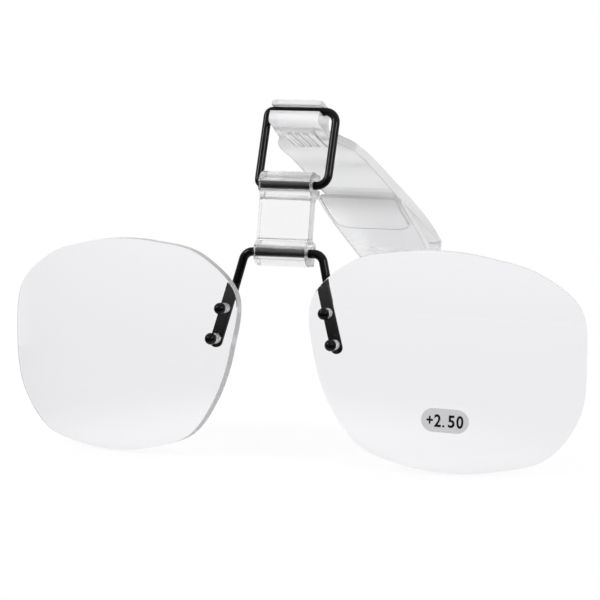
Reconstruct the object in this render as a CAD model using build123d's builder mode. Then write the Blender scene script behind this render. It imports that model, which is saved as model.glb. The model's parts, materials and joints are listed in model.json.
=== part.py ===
from build123d import *
import os
from math import asin, cos, radians, sin, sqrt

# A clear spring clip carries a wire bail, the bail carries a clear link,
# and the link carries the wire bridge that holds a pair of rimless lenses.
# The origin is the middle of the inner wall of the clip's fold, where the peak's edge stops.
# +X is across the pair, +Y leads from the clip's barrel to its fold, +Z is up.

# Visor clip: lengths run from the fold's inner wall along the leaf, heights are square to it
clip_slope = 24.5
barrel_reach = 69.9
barrel_rise = 3.96
barrel_width = 10.4
barrel_front = 2.1
barrel_back = 3.7
barrel_top = 2.15
barrel_bottom = 3.0
barrel_lower_round = 1.0
barrel_upper_round = 1.8
barrel_end_round = 0.9
barrel_slot_turn = -3.0
fold_wall = 2.7
fold_inner_round = 0.8
fold_outer_round = 1.6
mouth_gap = 3.9
leaf_width = 16.0
leaf_crown = 3.9
leaf_seat = 1.25
leaf_seat_past_jaw = 0.4
leaf_seat_length = 16.0
leaf_step_end = 11.0
leaf_tip_round = 1.5
leaf_crest_shares = ((0.09, 0.97), (0.44, 1.0), (0.72, 0.83), (0.88, 0.56))
leaf_tip_share = 0.68
neck_width = 10.4
neck_thickness = 1.75
neck_back = 4.9
neck_depth = 0.2
neck_round = 1.3
neck_flare_shares = ((0.77, 0.98), (0.829, 0.923), (0.866, 0.814))
jaw_length = 31.6
jaw_width = 18.1
jaw_fold_width = 16.4
jaw_root = 1.85
jaw_middle = 1.3
jaw_tip = 0.85
jaw_tip_gap = 0.3
jaw_corner_round = 1.6
thumb_pad_start = 18.7
thumb_pad_width = 16.4
thumb_pad_height = 0.2
thumb_pad_bevel = 4.6
thumb_pad_round = 3.0
grip_width = 6.6
grip_length = 9.4
grip_ramp = 1.2
grip_depth = 1.3
grip_fall = 0.45
rib_width = 0.8
rib_height = 0.22
rib_pitch = 1.6
rib_inset = 0.9
rib_count = 3

# Bail
bail_wire = 1.6
bail_length = 14.9
bail_lean = 20.6
bail_width = 14.25
bail_right_corner = 2.3
bail_left_corner = 1.1
bail_shift = 0.8
bail_butt_gap = 0.2

# Link
link_length = 13.1
link_lean = 11.2
link_width = 10.7
link_web = 2.7
link_barrel = 2.65
link_lip_reach = 3.25
link_lip_height = 4.7
link_lip_round = 0.9
link_web_round = 0.8

# Fits
bore_clearance = 0.05
slot_share = 0.7
pin_clearance = 0.02
face_gap = 0.03
overrun = 6.0

# Lenses: their middles lie in front of and below the bridge wire's bar.
# The back radius's share gives +2.50 dioptres in a plastic of index 1.586,
# and the edge is the mean of the two ends of the width.
lens_reach = 5.78
lens_drop = 18.92
lens_spacing = 69.78
lens_wrap = 10.86
lens_width = 52.64
lens_height = 42.0
front_radius = 75.2
back_radius_share = 1.472
lens_edge = 1.42
lens_decentre = 4.0
lens_edge_bevel = 0.15
lens_outline_shares = (
    (0.978, 0.0), (0.936, 0.488), (0.636, 0.797), (0.306, 0.926),
    (0.0, 0.986), (-0.323, 0.978), (-0.699, 0.880), (-1.005, 0.522),
    (-0.980, 0.0), (-0.857, -0.445), (-0.639, -0.801), (-0.315, -0.953),
    (0.0, -1.008), (0.327, -0.989), (0.696, -0.872), (0.933, -0.487),
)

# Lens plates: placed from the lens middles
plate_inward = 23.24
plate_rise = 5.0
plate_setback = 3.0
plate_turn = 2.0
plate_tilt = 16.0
plate_lean = 4.0
plate_width = 2.35
plate_thickness = 0.8
plate_top = 8.4
plate_bottom = 3.5
plate_top_round = 0.7

# Bridge wire
bridge_wire_size = 1.7
bridge_past_link = 2.55
bridge_corner = 2.0
bridge_crank = 3.0
bridge_crank_rise = 8.0
bridge_end_rise = 4.8

# Pins and sleeves: heights are along the plate from its middle,
# and each head's centre stands proud of the lens front
pin_rise = 0.15
pin_spacing = 6.1
pin_shank = 1.1
pin_head = 2.3
pin_proud = 0.25
sleeve_outer = 1.65
sleeve_collar = 1.95

# Power label
label_width = 9.0
label_height = 4.6
label_thickness = 0.1
label_inward = 0.2
label_drop = 10.8
label_turn = 3.0


def across(lean):
    """The unit direction down a piece that leans its top backwards by lean degrees."""
    return Vector(0, -sin(radians(lean)), -cos(radians(lean)))


# Directions, hinge axes and planes that the pieces share
along = Vector(0, -cos(radians(clip_slope)), sin(radians(clip_slope)))
above = Vector(0, sin(radians(clip_slope)), cos(radians(clip_slope)))
clip_axis = along * barrel_reach + above * barrel_rise
link_axis = clip_axis + across(bail_lean) * bail_length
lens_axis = link_axis + across(link_lean) * link_length
lens_middle = lens_axis + Vector(0, -lens_reach, -lens_drop)
clip_side = Plane(origin=(0, 0, 0), x_dir=along, z_dir=(-1, 0, 0))
clip_plan = Plane(origin=(0, 0, 0), x_dir=along, z_dir=above)
print("hinge axes", clip_axis, link_axis, lens_axis)

os.makedirs("parts", exist_ok=True)

# Jaw: it tapers from the fold to a bevelled tip that nearly meets the leaf
bevel_start = jaw_length - thumb_pad_bevel
inner_fold = -mouth_gap / 2
inner_tip = leaf_seat - jaw_tip_gap
inner_bevel = inner_fold + (inner_tip - inner_fold) * bevel_start / jaw_length
outer_fold = inner_fold - jaw_root
outer_bevel = inner_bevel - jaw_middle
outer_start = outer_fold + (outer_bevel - outer_fold) * thumb_pad_start / bevel_start
outer_tip = inner_tip - jaw_tip

with BuildPart() as thumb_pad:
    with BuildSketch(clip_side):
        with BuildLine():
            Polyline(
                (thumb_pad_start, outer_start - thumb_pad_height),
                (bevel_start, outer_bevel - thumb_pad_height),
                (jaw_length, outer_tip),
                (jaw_length, outer_tip + jaw_tip / 2),
                (bevel_start, outer_bevel + jaw_tip / 2),
                (thumb_pad_start, outer_start + jaw_tip / 2),
                close=True,
            )
        make_face()
    extrude(amount=jaw_width / 2, both=True)
    with BuildSketch(clip_plan) as thumb_plan:
        with Locations((thumb_pad_start + overrun, 0)):
            Rectangle(2 * overrun, thumb_pad_width)
        with Locations((jaw_length, 0)):
            Rectangle(2 * thumb_pad_bevel, thumb_pad_width)
        fillet(thumb_plan.vertices().group_by(Axis.X)[0], radius=thumb_pad_round)
    extrude(amount=overrun, both=True, mode=Mode.INTERSECT)

with BuildPart() as clip_jaw:
    with BuildSketch(clip_side) as jaw_side:
        with BuildLine():
            Polyline(
                (-fold_wall, 0),
                (-fold_wall, outer_fold),
                (0, outer_fold),
                (bevel_start, outer_bevel),
                (jaw_length, outer_tip),
                (jaw_length, inner_tip),
                (0, inner_fold),
                (0, 0),
                close=True,
            )
        make_face()
        fillet(jaw_side.vertices().sort_by_distance((-fold_wall, outer_fold))[0], radius=fold_outer_round)
        fillet(jaw_side.vertices().sort_by_distance((0, inner_fold))[0], radius=fold_inner_round)
        fillet(jaw_side.vertices().sort_by_distance((jaw_length, inner_tip))[0], radius=jaw_tip / 3)
        fillet(jaw_side.vertices().sort_by_distance((jaw_length, outer_tip))[0], radius=jaw_tip / 3)
    extrude(amount=jaw_width / 2, both=True)
    with BuildSketch(clip_plan) as jaw_plan:
        with BuildLine():
            Polyline(
                (-fold_wall, -jaw_fold_width / 2),
                (0, -jaw_fold_width / 2),
                (thumb_pad_start, -jaw_width / 2),
                (jaw_length, -jaw_width / 2),
                (jaw_length, jaw_width / 2),
                (thumb_pad_start, jaw_width / 2),
                (0, jaw_fold_width / 2),
                (-fold_wall, jaw_fold_width / 2),
                close=True,
            )
        make_face()
        fillet(jaw_plan.vertices().group_by(Axis.X)[-1], radius=jaw_corner_round)
    extrude(amount=overrun, both=True, mode=Mode.INTERSECT)
    add(thumb_pad.part)

# Leaf: an arched blade with the cross barrel at its neck and a snap slot into the bore
leaf_seat_start = jaw_length + leaf_seat_past_jaw
leaf_seat_end = leaf_seat_start + leaf_seat_length
neck_lowest = barrel_reach - neck_back
barrel_start = barrel_reach - barrel_back
barrel_end = barrel_reach + barrel_front
barrel_low = barrel_rise - barrel_bottom
barrel_high = barrel_rise + barrel_top
neck_high = neck_depth + neck_thickness
grip_low = barrel_low - grip_depth
grip_end = barrel_reach
grip_start = grip_end - grip_length
lip_shoulder = barrel_high - barrel_end_round
bail_bore = bail_wire / 2 + bore_clearance
leaf_crest = [(reach * barrel_reach, rise * leaf_crown) for reach, rise in leaf_crest_shares]
slot_middle = (
    barrel_reach + overrun / 2 * cos(radians(barrel_slot_turn)),
    barrel_rise + overrun / 2 * sin(radians(barrel_slot_turn)),
)
neck_flare = [(reach * barrel_end, wide * leaf_width / 2) for reach, wide in neck_flare_shares]

with BuildPart() as visor_clip:
    with BuildSketch(clip_side) as leaf_side:
        with BuildLine():
            crest = Spline((-fold_wall, leaf_tip_share * leaf_crown), *leaf_crest)
            Polyline(
                crest @ 1,
                (barrel_start, neck_high),
                (barrel_start, barrel_high),
                (barrel_end, barrel_high),
                (barrel_end, barrel_low),
                (neck_lowest, neck_depth),
            )
            Spline((neck_lowest, neck_depth), (leaf_seat_end, leaf_seat), tangents=((-1, 0), (-1, 0)))
            Polyline(
                (leaf_seat_end, leaf_seat),
                (leaf_seat_start, leaf_seat),
                (leaf_step_end, mouth_gap / 2),
                (0, mouth_gap / 2),
                (0, inner_fold / 2),
                (-fold_wall, inner_fold / 2),
                crest @ 0,
            )
        make_face()
        fillet(leaf_side.vertices().sort_by_distance(crest @ 0)[0], radius=fold_wall / 3)
        fillet(leaf_side.vertices().sort_by_distance((0, mouth_gap / 2))[0], radius=fold_inner_round)
        fillet(leaf_side.vertices().sort_by_distance((barrel_start, neck_high))[0], radius=neck_round)
        fillet(leaf_side.vertices().sort_by_distance((barrel_start, barrel_high))[0], radius=barrel_upper_round)
        fillet(leaf_side.vertices().sort_by_distance((barrel_end, barrel_high))[0], radius=barrel_upper_round)
        fillet(leaf_side.vertices().sort_by_distance((barrel_end, barrel_low))[0], radius=barrel_lower_round)
    extrude(amount=leaf_width / 2, both=True)
    with BuildSketch(clip_plan) as leaf_plan:
        with BuildLine():
            shore = Spline(*neck_flare, (neck_lowest, neck_width / 2))
            Polyline(
                shore @ 0,
                (leaf_seat_end, leaf_width / 2),
                (-fold_wall, leaf_width / 2),
                (-fold_wall, 0),
                (barrel_end, 0),
                (barrel_end, barrel_width / 2),
                (neck_lowest, neck_width / 2),
            )
        make_face()
        mirror(about=Plane.XZ)
        fillet(leaf_plan.vertices().group_by(Axis.X)[0], radius=leaf_tip_round)
    extrude(amount=2 * barrel_high, both=True, mode=Mode.INTERSECT)
    with BuildSketch(Plane(origin=(0, 0, 0), x_dir=(1, 0, 0), z_dir=along)) as leaf_front:
        Rectangle(barrel_width, 2 * barrel_high)
        fillet(leaf_front.vertices(), radius=barrel_end_round)
        Rectangle(jaw_width, 2 * lip_shoulder)
    extrude(amount=barrel_end + overrun, both=True, mode=Mode.INTERSECT)
    add(clip_jaw.part)
    with BuildSketch(clip_side):
        with BuildLine():
            Polyline(
                (grip_end, barrel_low + face_gap),
                (grip_end, grip_low),
                (grip_start, grip_low + grip_fall),
                (grip_start - grip_ramp, leaf_seat),
                close=True,
            )
        make_face()
    extrude(amount=grip_width / 2, both=True)
    for rib in range(rib_count):
        with BuildSketch(clip_side.offset((rib - (rib_count - 1) / 2) * rib_pitch)):
            with BuildLine():
                Polyline(
                    (grip_end - rib_inset, grip_low + rib_height),
                    (grip_end - rib_inset, grip_low - rib_height),
                    (grip_start + rib_inset, grip_low + grip_fall - rib_height),
                    (grip_start + rib_inset, grip_low + grip_fall + rib_height),
                    close=True,
                )
            make_face()
        extrude(amount=rib_width / 2, both=True)
    with BuildSketch(clip_side):
        with Locations((barrel_reach, barrel_rise)):
            Circle(bail_bore)
        with Locations(slot_middle):
            Rectangle(overrun, slot_share * bail_wire, rotation=barrel_slot_turn)
    extrude(amount=barrel_width, both=True, mode=Mode.SUBTRACT)
visor_clip.part.label = "visor_clip"
export_step(visor_clip.part, "parts/visor_clip.step")

# Bail: one wire bent to a rectangle, its ends butting inside the link's upper barrel
bail_plane = Plane(origin=clip_axis, x_dir=(1, 0, 0), z_dir=Vector(1, 0, 0).cross(-across(bail_lean)))
bail_right = bail_shift + bail_width / 2
bail_left = bail_shift - bail_width / 2

with BuildPart() as bail:
    with BuildLine(bail_plane) as bail_route:
        FilletPolyline(
            (bail_shift + bail_butt_gap / 2, -bail_length),
            (bail_right, -bail_length),
            (bail_right, 0),
            (bail_left, 0),
            (bail_left, -bail_length),
            (bail_shift - bail_butt_gap / 2, -bail_length),
            radius=(bail_right_corner, bail_right_corner, bail_left_corner, bail_left_corner),
        )
    with BuildSketch(Plane(origin=bail_route.line @ 0, z_dir=bail_route.line % 0)):
        Circle(bail_wire / 2)
    sweep(path=bail_route.line)
bail.part.label = "bail"
export_step(bail.part, "parts/bail.step")

# Link: a web with a C-shaped snap barrel along each end, both slots facing backwards
link_side = Plane(origin=link_axis, x_dir=across(link_lean), z_dir=(1, 0, 0))
bridge_bore = bridge_wire_size / 2 + bore_clearance


def is_web_corner(edge):
    """True for an edge where a face of the web meets a barrel."""
    place = link_side.to_local_coords(edge.center())
    between = link_web / 2 < place.X < link_length - link_web / 2
    return between and abs(abs(place.Y) - link_web / 2) < face_gap


with BuildPart() as link_plate:
    with BuildSketch(link_side):
        with Locations((0, 0), (link_length, 0)):
            Circle(link_barrel)
        with Locations((0, link_lip_reach / 2), (link_length, link_lip_reach / 2)):
            RectangleRounded(link_lip_height, link_lip_reach, link_lip_round)
        with Locations((link_length / 2, 0)):
            Rectangle(link_length, link_web)
        Circle(bail_bore, mode=Mode.SUBTRACT)
        with Locations((0, link_lip_reach)):
            Rectangle(slot_share * bail_wire, 2 * link_lip_reach, mode=Mode.SUBTRACT)
        with Locations((link_length, 0)):
            Circle(bridge_bore, mode=Mode.SUBTRACT)
        with Locations((link_length, link_lip_reach)):
            Rectangle(slot_share * bridge_wire_size, 2 * link_lip_reach, mode=Mode.SUBTRACT)
    extrude(amount=link_width / 2, both=True)
    web_corners = link_plate.edges().filter_by(Axis.X).filter_by(is_web_corner)
    fillet(web_corners, radius=link_web_round)
link_plate.part.label = "link_plate"
export_step(link_plate.part, "parts/link_plate.step")

# Lens, on the +X side: a meniscus between two spheres, cut to the rimless outline
wrap_side = Vector(cos(radians(lens_wrap)), sin(radians(lens_wrap)), 0)
wrap_front = Vector(sin(radians(lens_wrap)), -cos(radians(lens_wrap)), 0)
lens_pole = lens_middle + Vector(lens_spacing / 2, 0, 0)
front_centre = lens_pole - wrap_front * front_radius
lens_lean = asin(lens_decentre / front_radius)
back_radius = back_radius_share * front_radius
front_sag = front_radius - sqrt(front_radius**2 - (lens_width / 2) ** 2)
back_sag = back_radius - sqrt(back_radius**2 - (lens_width / 2) ** 2)
lens_thickness = lens_edge + front_sag - back_sag
back_offset = lens_thickness + back_radius - front_radius
back_centre = front_centre + (wrap_side * sin(lens_lean) - wrap_front * cos(lens_lean)) * back_offset
lens_plane = Plane(origin=lens_pole, x_dir=wrap_side, z_dir=wrap_front)
lens_outline = [(wide * lens_width / 2, high * lens_height / 2) for wide, high in lens_outline_shares]

# Plate frame: its normal points to the front and its second direction up the plate
plate_middle = lens_pole + Vector(-plate_inward, plate_setback, plate_rise)
plate_level = Vector(cos(radians(plate_turn)), -sin(radians(plate_turn)), 0)
plate_flat = Vector(-sin(radians(plate_turn)), -cos(radians(plate_turn)), 0)
plate_front = plate_flat * cos(radians(plate_lean)) + Vector(0, 0, 1) * sin(radians(plate_lean))
plate_up = plate_front.cross(plate_level)
plate_across = plate_level * cos(radians(plate_tilt)) + plate_up * sin(radians(plate_tilt))
plate_plane = Plane(origin=plate_middle, x_dir=plate_across, z_dir=plate_front)
pin_heights = (("upper", pin_rise + pin_spacing / 2), ("lower", pin_rise - pin_spacing / 2))
shank_hole = pin_shank / 2 + pin_clearance
lens_hole = sleeve_outer / 2 + pin_clearance


def to_lens_front(height):
    """The way from the plate's middle plane along a pin to the front of the lens."""
    place = plate_plane.from_local_coords((0, height, 0)) - front_centre
    lead = place.dot(plate_front)
    return sqrt(front_radius**2 - place.dot(place) + lead**2) - lead


with BuildPart() as lens_right:
    with Locations(front_centre):
        Sphere(front_radius)
    with Locations(back_centre):
        Sphere(back_radius, mode=Mode.SUBTRACT)
    with BuildSketch(lens_plane):
        with BuildLine():
            Spline(*lens_outline, periodic=True)
        make_face()
    extrude(amount=-lens_height / 2, mode=Mode.INTERSECT)
    chamfer(lens_right.edges().sort_by(SortBy.LENGTH)[-2:], length=lens_edge_bevel)
    with BuildSketch(plate_plane):
        with Locations(*[(0, height) for place, height in pin_heights]):
            Circle(lens_hole)
    extrude(amount=overrun, both=True, mode=Mode.SUBTRACT)

with BuildPart() as lens_plate_right:
    with BuildSketch(plate_plane) as plate_outline:
        with Locations((0, (plate_top - plate_bottom) / 2)):
            Rectangle(plate_width, plate_top + plate_bottom)
        fillet(plate_outline.vertices().group_by(Axis.Y)[-1], radius=plate_top_round)
        with Locations((0, -plate_bottom)):
            Circle(plate_width / 2)
        with Locations(*[(0, height) for place, height in pin_heights]):
            Circle(shank_hole, mode=Mode.SUBTRACT)
    extrude(amount=plate_thickness / 2, both=True)

# Pins and sleeves, on the +X side: each piece is kept with the two halves of its name
right_pieces = [("lens", "", lens_right), ("lens_plate", "", lens_plate_right)]
for place, height in pin_heights:
    pin_reach = to_lens_front(height) + pin_proud
    with BuildPart() as ball_pin:
        with Locations(plate_plane.from_local_coords((0, height, pin_reach))):
            Sphere(pin_head / 2)
        with Locations(front_centre):
            Sphere(front_radius + face_gap, mode=Mode.SUBTRACT)
        with BuildSketch(plate_plane.offset(-plate_thickness / 2)):
            with Locations((0, height)):
                Circle(pin_shank / 2)
        extrude(amount=plate_thickness / 2 + pin_reach + pin_head / 4)
    right_pieces.append(("ball_pin", f"_{place}", ball_pin))
    with BuildPart() as lens_sleeve:
        with BuildSketch(plate_plane.offset(plate_thickness / 2 + face_gap)):
            with Locations((0, height)):
                Circle(sleeve_collar / 2)
        extrude(amount=pin_reach)
        with Locations(back_centre):
            Sphere(back_radius - face_gap, mode=Mode.INTERSECT)
        with BuildSketch(plate_plane.offset(plate_thickness / 2 + face_gap)):
            with Locations((0, height)):
                Circle(sleeve_outer / 2)
        extrude(amount=pin_reach)
        with Locations(front_centre):
            Sphere(front_radius, mode=Mode.INTERSECT)
        with BuildSketch(plate_plane):
            with Locations((0, height)):
                Circle(shank_hole)
        extrude(amount=overrun, both=True, mode=Mode.SUBTRACT)
    right_pieces.append(("lens_sleeve", f"_{place}", lens_sleeve))

# Each of these pieces has its mirror image on the -X side
for stem, place, piece in right_pieces:
    piece.part.label = f"{stem}_right{place}"
    export_step(piece.part, f"parts/{stem}_right{place}.step")
    with BuildPart() as twin:
        mirror(piece.part, about=Plane.YZ)
    twin.part.label = f"{stem}_left{place}"
    export_step(twin.part, f"parts/{stem}_left{place}.step")

# Bridge wire: a bar in the link's lower barrel and a leg down behind each plate
wire_seat = -(plate_thickness + bridge_wire_size) / 2 - face_gap
bridge_corner_side = link_width / 2 + bridge_past_link
wire_crank = plate_plane.from_local_coords((0, bridge_crank_rise, wire_seat))
wire_end = plate_plane.from_local_coords((0, bridge_end_rise, wire_seat))
half_route = [wire_end, wire_crank, lens_axis + Vector(bridge_corner_side, 0, 0)]
other_half = [Vector(-point.X, point.Y, point.Z) for point in reversed(half_route)]

with BuildPart() as bridge_wire:
    with BuildLine() as bridge_route:
        FilletPolyline(
            *half_route,
            *other_half,
            radius=(bridge_crank, bridge_corner, bridge_corner, bridge_crank),
        )
    with BuildSketch(Plane(origin=bridge_route.line @ 0, z_dir=bridge_route.line % 0)):
        Circle(bridge_wire_size / 2)
    sweep(path=bridge_route.line)
bridge_wire.part.label = "bridge_wire"
export_step(bridge_wire.part, "parts/bridge_wire.step")

# Power label: a thin sticker that follows the front of the +X lens
with BuildPart() as power_label:
    with BuildSketch(lens_plane):
        with Locations((-label_inward, -label_drop)):
            SlotOverall(label_width, label_height, rotation=-label_turn)
    extrude(amount=overrun, both=True)
    with Locations(front_centre):
        Sphere(front_radius + face_gap + label_thickness, mode=Mode.INTERSECT)
        Sphere(front_radius + face_gap, mode=Mode.SUBTRACT)
power_label.part.label = "power_label"
export_step(power_label.part, "parts/power_label.step")
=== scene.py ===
import json
from itertools import combinations
from math import asin, cos, pi, radians, sin, sqrt

import bpy
from mathutils import Matrix, Vector


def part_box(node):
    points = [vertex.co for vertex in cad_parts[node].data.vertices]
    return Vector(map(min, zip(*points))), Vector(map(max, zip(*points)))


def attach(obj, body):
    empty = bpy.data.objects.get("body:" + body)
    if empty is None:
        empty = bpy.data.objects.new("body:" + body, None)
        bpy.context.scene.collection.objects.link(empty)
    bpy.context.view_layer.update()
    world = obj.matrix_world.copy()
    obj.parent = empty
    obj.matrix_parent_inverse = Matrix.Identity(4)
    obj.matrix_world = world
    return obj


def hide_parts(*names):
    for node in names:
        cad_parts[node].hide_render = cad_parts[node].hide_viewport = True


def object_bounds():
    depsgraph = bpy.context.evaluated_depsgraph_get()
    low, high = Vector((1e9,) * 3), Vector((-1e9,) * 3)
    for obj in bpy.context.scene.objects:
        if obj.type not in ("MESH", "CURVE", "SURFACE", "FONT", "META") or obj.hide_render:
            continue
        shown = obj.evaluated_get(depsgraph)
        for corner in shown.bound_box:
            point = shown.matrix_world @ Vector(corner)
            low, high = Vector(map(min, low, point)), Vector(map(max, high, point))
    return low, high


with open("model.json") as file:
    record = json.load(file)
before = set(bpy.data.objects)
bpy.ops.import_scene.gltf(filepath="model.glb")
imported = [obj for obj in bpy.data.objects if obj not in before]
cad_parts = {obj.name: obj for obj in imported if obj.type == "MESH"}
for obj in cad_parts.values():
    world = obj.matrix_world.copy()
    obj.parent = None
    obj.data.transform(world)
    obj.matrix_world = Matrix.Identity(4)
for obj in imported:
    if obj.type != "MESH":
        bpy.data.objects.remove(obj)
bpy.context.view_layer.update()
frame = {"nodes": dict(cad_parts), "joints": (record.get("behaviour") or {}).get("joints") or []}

# A clip-on flip-up loupe: clear clip, wire bail, clear link and a rimless lens pair.
# Sizes are in millimetres, turned to metres by MM where they meet a mesh.
MM = 0.001

# Lenses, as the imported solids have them
LENS_REACH = 5.78
LENS_DROP = 18.92
LENS_SPACING = 69.78
LENS_WRAP = radians(10.86)
LENS_WIDTH = 52.64
LENS_HEIGHT = 42.0
FRONT_RADIUS = 75.2
BACK_RADIUS_SHARE = 1.472
BACK_RADIUS = BACK_RADIUS_SHARE * FRONT_RADIUS
LENS_THICKNESS = 3.0
LENS_DECENTRE = 4.0
LENS_OUTLINE_SHARES = (
    (0.978, 0.0), (0.936, 0.488), (0.636, 0.797), (0.306, 0.926),
    (0.0, 0.986), (-0.323, 0.978), (-0.699, 0.880), (-1.005, 0.522),
    (-0.980, 0.0), (-0.857, -0.445), (-0.639, -0.801), (-0.315, -0.953),
    (0.0, -1.008), (0.327, -0.989), (0.696, -0.872), (0.933, -0.487),
)

# Lens meshes: steps from one outline point to the next, rings from rim to middle, the bevel
# of the ground edge, and the angle under which faces are shaded as one surface
RIM_STEPS = 12
LENS_RINGS = 22
LENS_BEVEL = 0.12
LENS_SMOOTH_UNDER = radians(12)

# The pins' bores through the lenses, square to the leaning plates
BORE_SIZE = 1.74
BORE_REACH = 12.0
BORE_SIDES = 40
BORE_MERGE = 0.002
PIN_TURN = radians(2.0)
PIN_LEAN = radians(4.0)

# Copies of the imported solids: points nearer than the merge are one, and so are faces flatter
# than the first angle. Edges sharper than the second are eased, unless two run into a cusp
# narrower than the third. The last is the angle under which faces are shaded as one surface.
COPY_MERGE = 0.001
FLAT_UNDER = radians(0.4)
SHARP_OVER = radians(35)
CUSP_UNDER = radians(30)
SMOOTH_UNDER = radians(32)
MOULDING_EASE = 0.22
BAIL_EASE = 0.1
BRIDGE_EASE = 0.25
PLATE_EASE = 0.15
SLEEVE_EASE = 0.06

# Label on the +X lens
LABEL_WIDTH = 9.0
LABEL_HEIGHT = 4.6
LABEL_THICKNESS = 0.1
LABEL_INWARD = 0.2
LABEL_DROP = 10.8
LABEL_GAP = 0.03
LABEL_TURN = radians(-3.0)
LABEL_POINTS = 64
LABEL_RINGS = 8
# Each printed mark: its place across and up the label, its width and its height
LABEL_MARKS = (
    ("+", -2.85, 0.0, 1.2, 1.5), ("2", -1.36, -0.05, 1.26, 2.45), (".", -0.23, -1.05, 0.4, 0.4),
    ("5", 1.23, -0.05, 1.24, 2.4), ("0", 2.83, -0.05, 1.28, 2.45),
)
# The ink's thickness, and how far its strokes are widened, as a share of the type's size
FIGURE_THICKNESS = 0.03
FIGURE_WEIGHT_SHARE = 0.022

# Patterns of the finishes: the width of a patch, as a length over the patches that lie along
# it, and the depth of its bump. The ground edge's grit, the black coat's grain and the paper's
# fibre are really finer, and are drawn as coarse as they need to show.
PEEL_WIDTH = 10 / 9
PEEL_DEPTH = 0.1
HAZE_WIDTH = 25 / 4
WAVE_WIDTH = 25
WAVE_DEPTH = 0.1
GRIT_WIDTH = 1 / 6
GRIT_DEPTH = 0.05
GRAIN_WIDTH = 2 / 7
GRAIN_DEPTH = 0.05
COAT_CLOUD_WIDTH = 50 / 13
NYLON_CLOUD_WIDTH = 5 / 6
FILM_MOTTLE_WIDTH = 2 / 5
INK_MOTTLE_WIDTH = 1 / 5
FIBRE_WIDTH = 10 / 3

# Camera, from the fit of the lens outlines and pins to the photograph
CAMERA_AZIMUTH = radians(21.432)
CAMERA_ELEVATION = radians(6.756)
CAMERA_ROLL = radians(0.166)
CAMERA_DISTANCE = 509.12
CAMERA_FOCAL = 161.17
CAMERA_SENSOR = 36.0
CAMERA_TARGET_X = 5.685
CAMERA_TARGET_Z = 10.688
CAMERA_NEAR = 10.0
CAMERA_FAR = 10000.0

# Floor sheet, in metres: its size and place, how far out it turns to full white for the eye and
# to a painted shade of the room's dark for a mirror, the depth over which that painted shade begins, and its
# glow close by
FLOOR_SIZE = 0.34
FLOOR_Y = -0.05
FLOOR_GAP = 0.3 * MM
FLOOR_NEAR = 0.03
FLOOR_FAR = 0.08
FLOOR_TURN = 0.02
FLOOR_GLOW_SHARE = 0.85

# The studio that a mirror sees: the room's dark, and between which heights and depths of a
# direction of length 1 it turns to the bright ceiling and to the white behind the object
ROOM_TONE = "#2E2E2E"
CEILING_START = -0.2
CEILING_END = 0.6
BEHIND_START = -0.25
BEHIND_END = 0.15

# Softboxes: name, azimuth from the front towards +X, elevation, distance in metres and watts
SOFTBOX_SIZE = 0.2
SOFTBOXES = (
    ("key", radians(-47), radians(33), 1.1, 3.4),
    ("fill", radians(60), radians(27), 1.0, 2.4),
)

joint_place = {joint["name"]: Vector(joint["pos_m"]) for joint in frame["joints"]}
lens_middle = joint_place["lens_hinge"] + Vector((0, -LENS_REACH, -LENS_DROP)) * MM


def linear(colour):
    """An sRGB hex colour as the linear RGBA that a shader socket takes."""
    channels = [int(colour[start:start + 2], 16) / 255 for start in (1, 3, 5)]
    return [c / 12.92 if c <= 0.04045 else ((c + 0.055) / 1.055) ** 2.4 for c in channels] + [1.0]


def add_node(tree, kind, inputs=None, **settings):
    """Adds a node with its settings, and sets or links each named input."""
    made = tree.nodes.new(kind)
    for key, value in settings.items():
        setattr(made, key, value)
    for key, value in (inputs or {}).items():
        if isinstance(value, bpy.types.NodeSocket):
            tree.links.new(value, made.inputs[key])
        else:
            made.inputs[key].default_value = value
    return made


def new_material(name):
    """An empty node material and its tree."""
    made = bpy.data.materials.new(name)
    made.use_nodes = True
    made.node_tree.nodes.clear()
    return made, made.node_tree


def clear_polycarbonate(name, milkiness, smoothest, roughest):
    """Injection-moulded clear polycarbonate: an orange-peel skin, patches of haze and a milky share."""
    made, tree = new_material(name)
    place = add_node(tree, "ShaderNodeTexCoord").outputs["Object"]
    peel = add_node(tree, "ShaderNodeTexNoise", {
        "Vector": place, "Scale": 1 / (PEEL_WIDTH * MM), "Detail": 2.0,
    })
    haze = add_node(tree, "ShaderNodeTexNoise", {
        "Vector": place, "Scale": 1 / (HAZE_WIDTH * MM), "Detail": 3.0,
    })
    rough = add_node(tree, "ShaderNodeMapRange", {
        "Value": haze.outputs["Fac"], "To Min": smoothest, "To Max": roughest,
    })
    bump = add_node(tree, "ShaderNodeBump", {
        "Height": peel.outputs["Fac"], "Strength": 0.06, "Distance": PEEL_DEPTH * MM,
    })
    body = add_node(tree, "ShaderNodeBsdfPrincipled", {
        "Base Color": linear("#FAFAFB"), "Roughness": rough.outputs["Result"], "IOR": 1.585,
        "Transmission Weight": 1 - milkiness, "Normal": bump.outputs["Normal"],
    })
    add_node(tree, "ShaderNodeOutputMaterial", {"Surface": body.outputs["BSDF"]})
    return made


def optical_polymer():
    """Hard-coated lens polymer: optically smooth, with a trace of cool grey."""
    made, tree = new_material("hard_coated_lens_polymer")
    place = add_node(tree, "ShaderNodeTexCoord").outputs["Object"]
    wave = add_node(tree, "ShaderNodeTexNoise", {
        "Vector": place, "Scale": 1 / (WAVE_WIDTH * MM), "Detail": 1.0,
    })
    bump = add_node(tree, "ShaderNodeBump", {
        "Height": wave.outputs["Fac"], "Strength": 0.02, "Distance": WAVE_DEPTH * MM,
    })
    body = add_node(tree, "ShaderNodeBsdfPrincipled", {
        "Base Color": linear("#F6F6F8"), "Roughness": 0.0, "IOR": 1.586,
        "Transmission Weight": 1.0, "Normal": bump.outputs["Normal"],
    })
    add_node(tree, "ShaderNodeOutputMaterial", {"Surface": body.outputs["BSDF"]})
    return made


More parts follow.
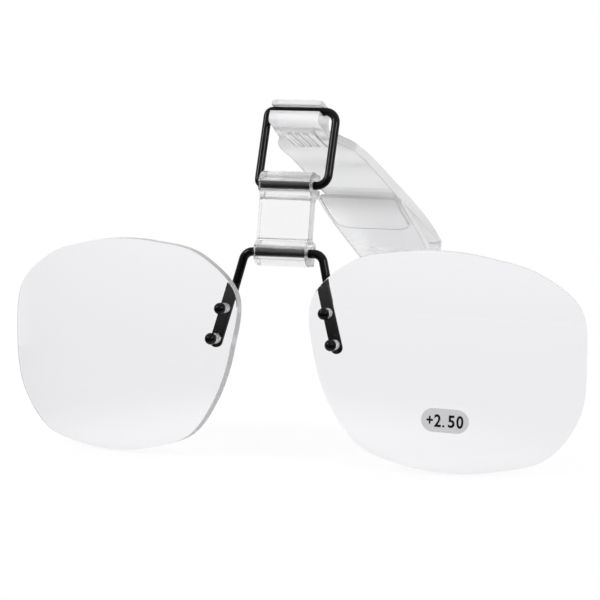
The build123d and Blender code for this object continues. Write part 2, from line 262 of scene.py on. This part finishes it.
def ground_edge():
    """The lens edge as the wheel leaves it: fine ground, whitish and half see-through."""
    made, tree = new_material("ground_lens_edge")
    place = add_node(tree, "ShaderNodeTexCoord").outputs["Object"]
    grit = add_node(tree, "ShaderNodeTexNoise", {
        "Vector": place, "Scale": 1 / (GRIT_WIDTH * MM), "Detail": 2.0,
    })
    bump = add_node(tree, "ShaderNodeBump", {
        "Height": grit.outputs["Fac"], "Strength": 0.3, "Distance": GRIT_DEPTH * MM,
    })
    body = add_node(tree, "ShaderNodeBsdfPrincipled", {
        "Base Color": linear("#E4E4E6"), "Roughness": 0.35, "IOR": 1.586,
        "Transmission Weight": 0.6, "Normal": bump.outputs["Normal"],
    })
    add_node(tree, "ShaderNodeOutputMaterial", {"Surface": body.outputs["BSDF"]})
    return made


def black_coat(name, smoothest, roughest, gloss):
    """Steel with a baked black coat, whose faint grain breaks its highlights."""
    made, tree = new_material(name)
    place = add_node(tree, "ShaderNodeTexCoord").outputs["Object"]
    grain = add_node(tree, "ShaderNodeTexNoise", {
        "Vector": place, "Scale": 1 / (GRAIN_WIDTH * MM), "Detail": 3.0,
    })
    cloud = add_node(tree, "ShaderNodeTexNoise", {
        "Vector": place, "Scale": 1 / (COAT_CLOUD_WIDTH * MM), "Detail": 2.0,
    })
    rough = add_node(tree, "ShaderNodeMapRange", {
        "Value": cloud.outputs["Fac"], "To Min": smoothest, "To Max": roughest,
    })
    tone = add_node(tree, "ShaderNodeValToRGB", {"Fac": cloud.outputs["Fac"]})
    tone.color_ramp.elements[0].color = linear("#040405")
    tone.color_ramp.elements[1].color = linear("#09090A")
    bump = add_node(tree, "ShaderNodeBump", {
        "Height": grain.outputs["Fac"], "Strength": 0.08, "Distance": GRAIN_DEPTH * MM,
    })
    body = add_node(tree, "ShaderNodeBsdfPrincipled", {
        "Base Color": tone.outputs["Color"], "Roughness": rough.outputs["Result"], "IOR": 1.5,
        "Specular IOR Level": gloss, "Normal": bump.outputs["Normal"],
    })
    add_node(tree, "ShaderNodeOutputMaterial", {"Surface": body.outputs["BSDF"]})
    return made


def natural_nylon():
    """Natural nylon bushing: milky, soft-edged and half see-through."""
    made, tree = new_material("natural_nylon")
    place = add_node(tree, "ShaderNodeTexCoord").outputs["Object"]
    cloud = add_node(tree, "ShaderNodeTexNoise", {
        "Vector": place, "Scale": 1 / (NYLON_CLOUD_WIDTH * MM), "Detail": 2.0,
    })
    rough = add_node(tree, "ShaderNodeMapRange", {
        "Value": cloud.outputs["Fac"], "To Min": 0.25, "To Max": 0.4,
    })
    body = add_node(tree, "ShaderNodeBsdfPrincipled", {
        "Base Color": linear("#FAFAF9"), "Roughness": rough.outputs["Result"], "IOR": 1.53,
        "Transmission Weight": 0.3,
    })
    add_node(tree, "ShaderNodeOutputMaterial", {"Surface": body.outputs["BSDF"]})
    return made


def label_film():
    """Printed film: pale grey, almost matt, with the faint mottle of its print."""
    made, tree = new_material("pale_grey_film")
    place = add_node(tree, "ShaderNodeTexCoord").outputs["Object"]
    mottle = add_node(tree, "ShaderNodeTexNoise", {
        "Vector": place, "Scale": 1 / (FILM_MOTTLE_WIDTH * MM), "Detail": 3.0,
    })
    tone = add_node(tree, "ShaderNodeValToRGB", {"Fac": mottle.outputs["Fac"]})
    tone.color_ramp.elements[0].color = linear("#B0B0B2")
    tone.color_ramp.elements[1].color = linear("#BDBDBF")
    body = add_node(tree, "ShaderNodeBsdfPrincipled", {
        "Base Color": tone.outputs["Color"], "Roughness": 0.45, "IOR": 1.49,
    })
    add_node(tree, "ShaderNodeOutputMaterial", {"Surface": body.outputs["BSDF"]})
    return made


def label_ink():
    """Black printing ink, dull, thinner where the mottle lets the film through."""
    made, tree = new_material("black_printing_ink")
    place = add_node(tree, "ShaderNodeTexCoord").outputs["Object"]
    mottle = add_node(tree, "ShaderNodeTexNoise", {
        "Vector": place, "Scale": 1 / (INK_MOTTLE_WIDTH * MM), "Detail": 2.0,
    })
    tone = add_node(tree, "ShaderNodeValToRGB", {"Fac": mottle.outputs["Fac"]})
    tone.color_ramp.elements[0].color = linear("#030303")
    tone.color_ramp.elements[1].color = linear("#080808")
    body = add_node(tree, "ShaderNodeBsdfPrincipled", {
        "Base Color": tone.outputs["Color"], "Roughness": 0.6, "IOR": 1.5, "Specular IOR Level": 0.15,
    })
    add_node(tree, "ShaderNodeOutputMaterial", {"Surface": body.outputs["BSDF"]})
    return made


clip_moulding = clear_polycarbonate(
    "hazy_moulded_polycarbonate", milkiness=0.3, smoothest=0.1, roughest=0.2,
)
link_moulding = clear_polycarbonate(
    "clear_moulded_polycarbonate", milkiness=0.0, smoothest=0.1, roughest=0.24,
)
lens_polymer = optical_polymer()
lens_edge = ground_edge()
wire_coat = black_coat("baked_black_coat", smoothest=0.1, roughest=0.18, gloss=0.15)
plate_coat = black_coat("matt_black_coat", smoothest=0.45, roughest=0.55, gloss=0.08)
nylon = natural_nylon()
film = label_film()
ink = label_ink()


def only(*pieces):
    """Selects these objects and nothing else, the last one active."""
    bpy.ops.object.select_all(action="DESELECT")
    for piece in pieces:
        piece.select_set(True)
    bpy.context.view_layer.objects.active = pieces[-1]


def apply_all(piece):
    """Applies every modifier of a piece in order."""
    only(piece)
    for modifier in list(piece.modifiers):
        bpy.ops.object.modifier_apply(modifier=modifier.name)


def set_in_place(piece, place=None):
    """Moves a piece's place into its mesh, so that its object sits at the origin."""
    if place:
        piece.data.transform(place)
    only(piece)
    bpy.ops.object.transform_apply(location=True, rotation=True, scale=True)


def declare(piece, body, slot, *nodes):
    """Rides a piece on its body and hides the solids that it stands for; the name of its finish is not used.
    """
    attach(piece, body)
    if nodes:
        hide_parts(*nodes)


def smooth_rounds(piece):
    """Shades the rounds smooth and keeps the flats flat."""
    only(piece)
    bpy.ops.object.shade_smooth_by_angle(angle=SMOOTH_UNDER)
    weights = piece.modifiers.new("flats", "WEIGHTED_NORMAL")
    weights.keep_sharp = True
    apply_all(piece)


def ease_edges(piece, width, segments):
    """Rounds the sharp edges of a piece, but not where two of them run together in a cusp."""
    only(piece)
    bpy.ops.object.mode_set(mode="EDIT")
    bpy.ops.mesh.select_mode(type="EDGE")
    bpy.ops.mesh.select_all(action="DESELECT")
    bpy.ops.mesh.edges_select_sharp(sharpness=SHARP_OVER)
    bpy.ops.object.mode_set(mode="OBJECT")
    sharp = [edge for edge in piece.data.edges if edge.select]
    ways = {}
    for edge in sharp:
        start, end = edge.vertices
        way = (piece.data.vertices[end].co - piece.data.vertices[start].co).normalized()
        ways.setdefault(start, []).append((way, edge.index))
        ways.setdefault(end, []).append((-way, edge.index))
    cusps = set()
    for meeting in ways.values():
        for (way, index), (other_way, other) in combinations(meeting, 2):
            if way.dot(other_way) > cos(CUSP_UNDER):
                cusps.update((index, other))
    weights = piece.data.attributes.new("bevel_weight_edge", "FLOAT", "EDGE")
    for edge in sharp:
        weights.data[edge.index].value = float(edge.index not in cusps)
    ease = piece.modifiers.new("ease", "BEVEL")
    ease.width = width * MM
    ease.segments = segments
    ease.limit_method = "WEIGHT"
    ease.use_clamp_overlap = False
    apply_all(piece)


def merged_copy(node, name, material, bevel=0.0, segments=2):
    """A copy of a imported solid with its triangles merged, its edges eased and its rounds smooth."""
    piece = bpy.data.objects.new(name, frame["nodes"][node].data.copy())
    bpy.context.scene.collection.objects.link(piece)
    piece.data.materials.clear()
    piece.data.materials.append(material)
    only(piece)
    bpy.ops.object.mode_set(mode="EDIT")
    bpy.ops.mesh.select_all(action="SELECT")
    bpy.ops.mesh.remove_doubles(threshold=COPY_MERGE * MM)
    bpy.ops.mesh.dissolve_limited(angle_limit=FLAT_UNDER)
    bpy.ops.object.mode_set(mode="OBJECT")
    if bevel:
        ease_edges(piece, bevel, segments)
    smooth_rounds(piece)
    return piece


def rim_points():
    """The lens outline as a smooth closed run through its named points."""
    knots = [
        Vector((wide * LENS_WIDTH / 2, high * LENS_HEIGHT / 2))
        for wide, high in LENS_OUTLINE_SHARES
    ]
    count = len(knots)
    points = []
    for i in range(count):
        before, start, end, after = (knots[(i + k) % count] for k in (-1, 0, 1, 2))
        for step in range(RIM_STEPS):
            t = step / RIM_STEPS
            bend = 2 * before - 5 * start + 4 * end - after
            twist = 3 * start - before - 3 * end + after
            points.append((2 * start + (end - before) * t + bend * t * t + twist * t ** 3) / 2)
    return points


def ringed_sheet(name, outline, rings, centre=(0.0, 0.0)):
    """A flat sheet of rings drawn in from its outline to its centre."""
    bpy.ops.object.select_all(action="DESELECT")
    bpy.ops.mesh.primitive_circle_add(vertices=len(outline), radius=MM, fill_type="NOTHING")
    sheet = bpy.context.object
    sheet.name = name
    for vertex, point in zip(sheet.data.vertices, outline):
        vertex.co = Vector((point[0] * MM, point[1] * MM, 0))
    middle = (centre[0] * MM, centre[1] * MM, 0)
    bpy.ops.object.mode_set(mode="EDIT")
    bpy.ops.mesh.select_all(action="SELECT")
    for ring in range(rings - 1):
        share = (rings - ring - 1) / (rings - ring)
        bpy.ops.mesh.extrude_edges_indiv()
        bpy.ops.transform.resize(value=(share, share, 1), center_override=middle)
    bpy.ops.mesh.extrude_edges_indiv()
    bpy.ops.mesh.merge(type="COLLAPSE")
    bpy.ops.mesh.select_all(action="SELECT")
    bpy.ops.mesh.normals_make_consistent(inside=False)
    bpy.ops.object.mode_set(mode="OBJECT")
    return sheet


def dish(piece, centre, radius):
    """Drops every point of a piece onto a sphere, along the lens axis."""
    for vertex in piece.data.vertices:
        side = vertex.co.x - centre[0] * MM
        rise = vertex.co.y - centre[1] * MM
        vertex.co.z += centre[2] * MM + sqrt((radius * MM) ** 2 - side ** 2 - rise ** 2)


lens_lean = asin(LENS_DECENTRE / FRONT_RADIUS)
back_offset = LENS_THICKNESS + BACK_RADIUS - FRONT_RADIUS
front_centre = (0.0, 0.0, -FRONT_RADIUS)
back_centre = (back_offset * sin(lens_lean), 0.0, -FRONT_RADIUS - back_offset * cos(lens_lean))
lens_side = Vector((cos(LENS_WRAP), sin(LENS_WRAP), 0))
lens_front = Vector((sin(LENS_WRAP), -cos(LENS_WRAP), 0))
lens_place = Matrix((lens_side, (0, 0, 1), lens_front)).transposed().to_4x4()
lens_place.translation = lens_middle + Vector((LENS_SPACING / 2, 0, 0)) * MM


def mirror_copy(piece, name):
    """The mirror image of a piece across the middle plane, turned right side out."""
    twin = bpy.data.objects.new(name, piece.data.copy())
    bpy.context.scene.collection.objects.link(twin)
    twin.data.transform(Matrix.Scale(-1, 4, (1, 0, 0)))
    twin.data.flip_normals()
    return twin


def lens_blank(name):
    """A ground meniscus lens: two ringed sheets on their spheres, bridged round the rim."""
    front = ringed_sheet(name, rim_points(), LENS_RINGS)
    back = ringed_sheet(name + "_back", rim_points(), LENS_RINGS)
    dish(front, front_centre, FRONT_RADIUS)
    dish(back, back_centre, BACK_RADIUS)
    only(back, front)
    bpy.ops.object.join()
    front.data.materials.append(lens_polymer)
    front.data.materials.append(lens_edge)
    bpy.ops.object.mode_set(mode="EDIT")
    bpy.ops.mesh.select_mode(type="EDGE")
    bpy.ops.mesh.select_all(action="DESELECT")
    bpy.ops.mesh.select_non_manifold()
    bpy.ops.mesh.bridge_edge_loops()
    bpy.ops.mesh.select_mode(type="FACE")
    front.active_material_index = 1
    bpy.ops.object.material_slot_assign()
    bpy.ops.mesh.select_all(action="SELECT")
    bpy.ops.mesh.normals_make_consistent(inside=False)
    bpy.ops.mesh.select_all(action="DESELECT")
    bpy.ops.object.material_slot_select()
    bpy.ops.mesh.select_mode(type="EDGE")
    bpy.ops.mesh.region_to_loop()
    bpy.ops.mesh.bevel(offset=LENS_BEVEL * MM, segments=2, affect="EDGES")
    bpy.ops.mesh.select_all(action="SELECT")
    bpy.ops.mesh.normals_make_consistent(inside=False)
    bpy.ops.object.mode_set(mode="OBJECT")
    set_in_place(front, lens_place)
    return front


def drill(piece, node):
    """Bores a piece through along a packed pin's line, with a ground wall."""
    low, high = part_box(node)
    way = Vector((-sin(PIN_TURN) * cos(PIN_LEAN), -cos(PIN_TURN) * cos(PIN_LEAN), sin(PIN_LEAN)))
    bpy.ops.object.select_all(action="DESELECT")
    bpy.ops.mesh.primitive_cylinder_add(
        vertices=BORE_SIDES, radius=BORE_SIZE / 2 * MM, depth=BORE_REACH * MM,
        location=(low + high) / 2, rotation=way.to_track_quat("Z", "Y").to_euler(),
    )
    cutter = bpy.context.object
    cutter.data.materials.append(lens_edge)
    bore = piece.modifiers.new("bore", "BOOLEAN")
    bore.operation = "DIFFERENCE"
    bore.solver = "EXACT"
    bore.material_mode = "TRANSFER"
    bore.object = cutter
    bpy.context.view_layer.update()
    apply_all(piece)
    bpy.data.objects.remove(cutter)
    bpy.ops.object.mode_set(mode="EDIT")
    bpy.ops.mesh.select_all(action="SELECT")
    bpy.ops.mesh.remove_doubles(threshold=BORE_MERGE * MM)
    bpy.ops.object.mode_set(mode="OBJECT")


lens_right = lens_blank("lens_right_ground")
for height in ("upper", "lower"):
    drill(lens_right, f"lens_sleeve_right_{height}")
only(lens_right)
bpy.ops.object.shade_smooth_by_angle(angle=LENS_SMOOTH_UNDER)
lens_left = mirror_copy(lens_right, "lens_left_ground")
declare(lens_right, "lens_frame", "lens_plastic", "lens_right")
declare(lens_left, "lens_frame", "lens_plastic", "lens_left")

# Mouldings, wires, plates, pins and bushings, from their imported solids
clip = merged_copy("visor_clip", "visor_clip_moulding", clip_moulding, bevel=MOULDING_EASE)
declare(clip, "clip", "clear_moulding", "visor_clip")
link = merged_copy("link_plate", "link_plate_moulding", link_moulding, bevel=MOULDING_EASE)
declare(link, "link", "clear_moulding", "link_plate")
bail = merged_copy("bail", "bail_wire", wire_coat, bevel=BAIL_EASE)
declare(bail, "bail", "black_wire", "bail")
bridge = merged_copy("bridge_wire", "bridge_wire_bent", wire_coat, bevel=BRIDGE_EASE, segments=3)
declare(bridge, "lens_frame", "black_wire", "bridge_wire")
for side in ("left", "right"):
    plate = merged_copy(
        f"lens_plate_{side}", f"lens_plate_{side}_pressed", plate_coat,
        bevel=PLATE_EASE, segments=3,
    )
    declare(plate, "lens_frame", "black_wire", f"lens_plate_{side}")
    for height in ("upper", "lower"):
        pin = merged_copy(f"ball_pin_{side}_{height}", f"ball_pin_{side}_{height}_turned", wire_coat)
        declare(pin, "lens_frame", "black_wire", f"ball_pin_{side}_{height}")
        bushing = f"lens_sleeve_{side}_{height}"
        sleeve = merged_copy(bushing, bushing + "_moulded", nylon, bevel=SLEEVE_EASE)
        declare(sleeve, "lens_frame", "sleeve_plastic", bushing)


def turned(across, up):
    """A place on the label, from its own middle to the middle of the lens."""
    return (
        across * cos(LABEL_TURN) - up * sin(LABEL_TURN) - LABEL_INWARD,
        across * sin(LABEL_TURN) + up * cos(LABEL_TURN) - LABEL_DROP,
    )


def label_pill():
    """A round-ended sticker that lies on the lens front."""
    reach = (LABEL_WIDTH - LABEL_HEIGHT) / 2
    outline = []
    for i in range(LABEL_POINTS):
        turn = 2 * pi * (i + 0.5) / LABEL_POINTS
        push = reach if cos(turn) > 0 else -reach
        outline.append(turned(push + LABEL_HEIGHT / 2 * cos(turn), LABEL_HEIGHT / 2 * sin(turn)))
    pill = ringed_sheet(
        "power_label_film", outline, LABEL_RINGS, centre=(-LABEL_INWARD, -LABEL_DROP),
    )
    dish(pill, front_centre, FRONT_RADIUS + LABEL_GAP)
    pill.data.materials.append(film)
    wall = pill.modifiers.new("film", "SOLIDIFY")
    wall.thickness = LABEL_THICKNESS * MM
    wall.offset = 1.0
    apply_all(pill)
    set_in_place(pill, lens_place)
    bpy.ops.object.shade_smooth_by_angle(angle=SMOOTH_UNDER)
    return pill


def label_mark(figure, across, up, wide, high):
    """One printed mark, drawn to its own width and height on the flat label."""
    bpy.ops.object.select_all(action="DESELECT")
    bpy.ops.object.text_add()
    mark = bpy.context.object
    mark.data.body = figure
    mark.data.offset = FIGURE_WEIGHT_SHARE
    bpy.ops.object.convert(target="MESH")
    points = [vertex.co.copy() for vertex in mark.data.vertices]
    low = Vector((min(p.x for p in points), min(p.y for p in points), 0))
    high_corner = Vector((max(p.x for p in points), max(p.y for p in points), 0))
    middle = (low + high_corner) / 2
    span = high_corner - low
    for vertex in mark.data.vertices:
        place = vertex.co - middle
        side, rise = turned(across + place.x * wide / span.x, up + place.y * high / span.y)
        vertex.co = Vector((side * MM, rise * MM, 0))
    return mark


def label_figures():
    """The dioptre figures, printed on the sticker."""
    marks = [label_mark(*mark) for mark in LABEL_MARKS]
    only(*marks)
    bpy.ops.object.join()
    figures = bpy.context.object
    figures.name = "power_label_figures"
    dish(figures, front_centre, FRONT_RADIUS + LABEL_GAP + LABEL_THICKNESS + LABEL_GAP / 3)
    figures.data.materials.append(ink)
    wall = figures.modifiers.new("ink", "SOLIDIFY")
    wall.thickness = FIGURE_THICKNESS * MM
    wall.offset = 1.0
    apply_all(figures)
    set_in_place(figures, lens_place)
    return figures


declare(label_pill(), "lens_frame", "label_film", "power_label")
declare(label_figures(), "lens_frame", "label_film")


def set_camera():
    """The camera at the photograph's place and angle."""
    back = Vector((
        sin(CAMERA_AZIMUTH) * cos(CAMERA_ELEVATION),
        -cos(CAMERA_AZIMUTH) * cos(CAMERA_ELEVATION),
        sin(CAMERA_ELEVATION),
    ))
    level = Vector((cos(CAMERA_AZIMUTH), sin(CAMERA_AZIMUTH), 0))
    rise = back.cross(level)
    right = level * cos(CAMERA_ROLL) + rise * sin(CAMERA_ROLL)
    up = rise * cos(CAMERA_ROLL) - level * sin(CAMERA_ROLL)
    camera = bpy.data.objects.new("camera", bpy.data.cameras.new("camera"))
    bpy.context.scene.collection.objects.link(camera)
    camera.data.lens = CAMERA_FOCAL
    camera.data.sensor_width = CAMERA_SENSOR
    camera.data.clip_start = CAMERA_NEAR * MM
    camera.data.clip_end = CAMERA_FAR * MM
    place = Matrix((right, up, back)).transposed().to_4x4()
    target = lens_middle + Vector((CAMERA_TARGET_X, 0, CAMERA_TARGET_Z)) * MM
    place.translation = target + back * CAMERA_DISTANCE * MM
    camera.matrix_world = place
    bpy.context.scene.camera = camera


def seen_white(tree):
    """1 for what the eye sees, straight or through clear plastic, and 0 for a ray that a
    surface has mirrored once, so that black parts stay black behind a lens."""
    path = add_node(tree, "ShaderNodeLightPath")
    once = add_node(tree, "ShaderNodeMath", {
        0: path.outputs["Glossy Depth"], 1: 1.0, 2: 0.5,
    }, operation="COMPARE")
    through = add_node(tree, "ShaderNodeMath", {
        0: path.outputs["Is Transmission Ray"], 1: once.outputs["Value"],
    }, operation="SUBTRACT")
    either = add_node(tree, "ShaderNodeMath", {
        0: path.outputs["Is Camera Ray"], 1: through.outputs["Value"],
    }, operation="MAXIMUM")
    return either.outputs["Value"]


def matt_or_mirror(tree, matt, mirror):
    """Shows one shader to matt faces and another to whatever mirrors it."""
    path = add_node(tree, "ShaderNodeLightPath")
    mix = add_node(tree, "ShaderNodeMixShader", {
        0: path.outputs["Is Diffuse Ray"], 1: mirror, 2: matt,
    })
    return mix.outputs["Shader"]


def white_sweep():
    """The pale paper floor: white to the eye, shaded under the object, and to a mirror
    given a painted shade that darkens it towards its front, where it meets the dim room."""
    made, tree = new_material("white_paper_sweep")
    place = add_node(tree, "ShaderNodeTexCoord").outputs["Object"]
    fibre = add_node(tree, "ShaderNodeTexNoise", {
        "Vector": place, "Scale": 1 / (FIBRE_WIDTH * MM), "Detail": 3.0,
    })
    tone = add_node(tree, "ShaderNodeValToRGB", {"Fac": fibre.outputs["Fac"]})
    tone.color_ramp.elements[0].color = linear("#F1F1F1")
    tone.color_ramp.elements[1].color = linear("#F5F5F5")
    paper = add_node(tree, "ShaderNodeBsdfDiffuse", {"Color": tone.outputs["Color"]})
    split = add_node(tree, "ShaderNodeSeparateXYZ", {"Vector": place})
    forward = add_node(tree, "ShaderNodeMath", {0: split.outputs["Y"], 1: 0.0}, operation="MINIMUM")
    spread = add_node(tree, "ShaderNodeCombineXYZ", {"X": split.outputs["X"], "Y": forward.outputs["Value"]})
    reach = add_node(tree, "ShaderNodeVectorMath", {0: spread.outputs["Vector"]}, operation="LENGTH")
    far = add_node(tree, "ShaderNodeMapRange", {
        "Value": reach.outputs["Value"], "From Min": FLOOR_NEAR, "From Max": FLOOR_FAR,
    }, interpolation_type="SMOOTHSTEP")
    ahead = add_node(tree, "ShaderNodeMapRange", {
        "Value": split.outputs["Y"], "From Min": FLOOR_TURN, "From Max": -FLOOR_TURN,
    }, interpolation_type="SMOOTHSTEP")
    # Painted shade: to a mirror the floor glows near white close by and turns to the room's dark out towards
    # its front
    painted_shade_share = add_node(tree, "ShaderNodeMath", {
        0: far.outputs["Result"], 1: ahead.outputs["Result"],
    }, operation="MULTIPLY")
    painted_front_shade = add_node(tree, "ShaderNodeValToRGB", {"Fac": painted_shade_share.outputs["Value"]})
    painted_front_shade.color_ramp.elements[0].color = linear("#FAFAFA")
    painted_front_shade.color_ramp.elements[1].color = linear(ROOM_TONE)
    mirrored = add_node(tree, "ShaderNodeEmission", {"Color": painted_front_shade.outputs["Color"], "Strength": 1.0})
    glow = add_node(tree, "ShaderNodeEmission", {"Color": linear("#FFFFFF"), "Strength": 1.0})
    whiteness = add_node(tree, "ShaderNodeMapRange", {
        "Value": far.outputs["Result"], "To Min": FLOOR_GLOW_SHARE, "To Max": 1.0,
    })
    seen = add_node(tree, "ShaderNodeMixShader", {
        0: whiteness.outputs["Result"], 1: paper.outputs["BSDF"], 2: glow.outputs["Emission"],
    })
    rest = matt_or_mirror(tree, paper.outputs["BSDF"], mirrored.outputs["Emission"])
    mix = add_node(tree, "ShaderNodeMixShader", {0: seen_white(tree), 1: rest, 2: seen.outputs["Shader"]})
    add_node(tree, "ShaderNodeOutputMaterial", {"Surface": mix.outputs["Shader"]})
    return made


def set_floor():
    """A sheet of paper at the lenses' lowest edge."""
    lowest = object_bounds()[0][2]
    bpy.ops.object.select_all(action="DESELECT")
    bpy.ops.mesh.primitive_plane_add(size=FLOOR_SIZE, location=(0, FLOOR_Y, lowest - FLOOR_GAP))
    floor = bpy.context.object
    floor.name = "floor"
    floor.data.materials.append(white_sweep())


def set_world():
    """A soft studio: white to the eye and behind the object, evenly bright to matt faces,
    and a dim room with a bright ceiling to whatever mirrors its front."""
    world = bpy.data.worlds.new("studio")
    bpy.context.scene.world = world
    world.use_nodes = True
    tree = world.node_tree
    tree.nodes.clear()
    place = add_node(tree, "ShaderNodeTexCoord")
    split = add_node(tree, "ShaderNodeSeparateXYZ", {"Vector": place.outputs["Generated"]})
    height = add_node(tree, "ShaderNodeMapRange", {
        "Value": split.outputs["Z"], "From Min": CEILING_START, "From Max": CEILING_END,
    }, interpolation_type="SMOOTHSTEP")
    behind = add_node(tree, "ShaderNodeMapRange", {
        "Value": split.outputs["Y"], "From Min": BEHIND_START, "From Max": BEHIND_END,
    }, interpolation_type="SMOOTHSTEP")
    tone = add_node(tree, "ShaderNodeValToRGB", {"Fac": height.outputs["Result"]})
    tone.color_ramp.elements[0].color = linear(ROOM_TONE)
    tone.color_ramp.elements[1].color = linear("#E6E6E6")
    front = add_node(tree, "ShaderNodeBackground", {"Color": tone.outputs["Color"], "Strength": 1.0})
    white = add_node(tree, "ShaderNodeBackground", {"Color": linear("#FFFFFF"), "Strength": 1.0})
    room = add_node(tree, "ShaderNodeMixShader", {
        0: behind.outputs["Result"], 1: front.outputs["Background"], 2: white.outputs["Background"],
    })
    light = matt_or_mirror(tree, white.outputs["Background"], room.outputs["Shader"])
    mix = add_node(tree, "ShaderNodeMixShader", {
        0: seen_white(tree), 1: light, 2: white.outputs["Background"],
    })
    add_node(tree, "ShaderNodeOutputWorld", {"Surface": mix.outputs["Shader"]})


def set_softbox(name, azimuth, elevation, distance, power):
    """A square soft light that faces the lens middle."""
    lamp = bpy.data.objects.new(name, bpy.data.lights.new(name, "AREA"))
    bpy.context.scene.collection.objects.link(lamp)
    lamp.data.size = SOFTBOX_SIZE
    lamp.data.energy = power
    way = Vector((
        sin(azimuth) * cos(elevation), -cos(azimuth) * cos(elevation), sin(elevation),
    ))
    lamp.location = lens_middle + way * distance
    lamp.rotation_euler = (-way).to_track_quat("-Z", "Y").to_euler()


set_camera()
set_floor()
set_world()
for lamp_settings in SOFTBOXES:
    set_softbox(*lamp_settings)
bpy.context.scene.view_settings.view_transform = "Standard"
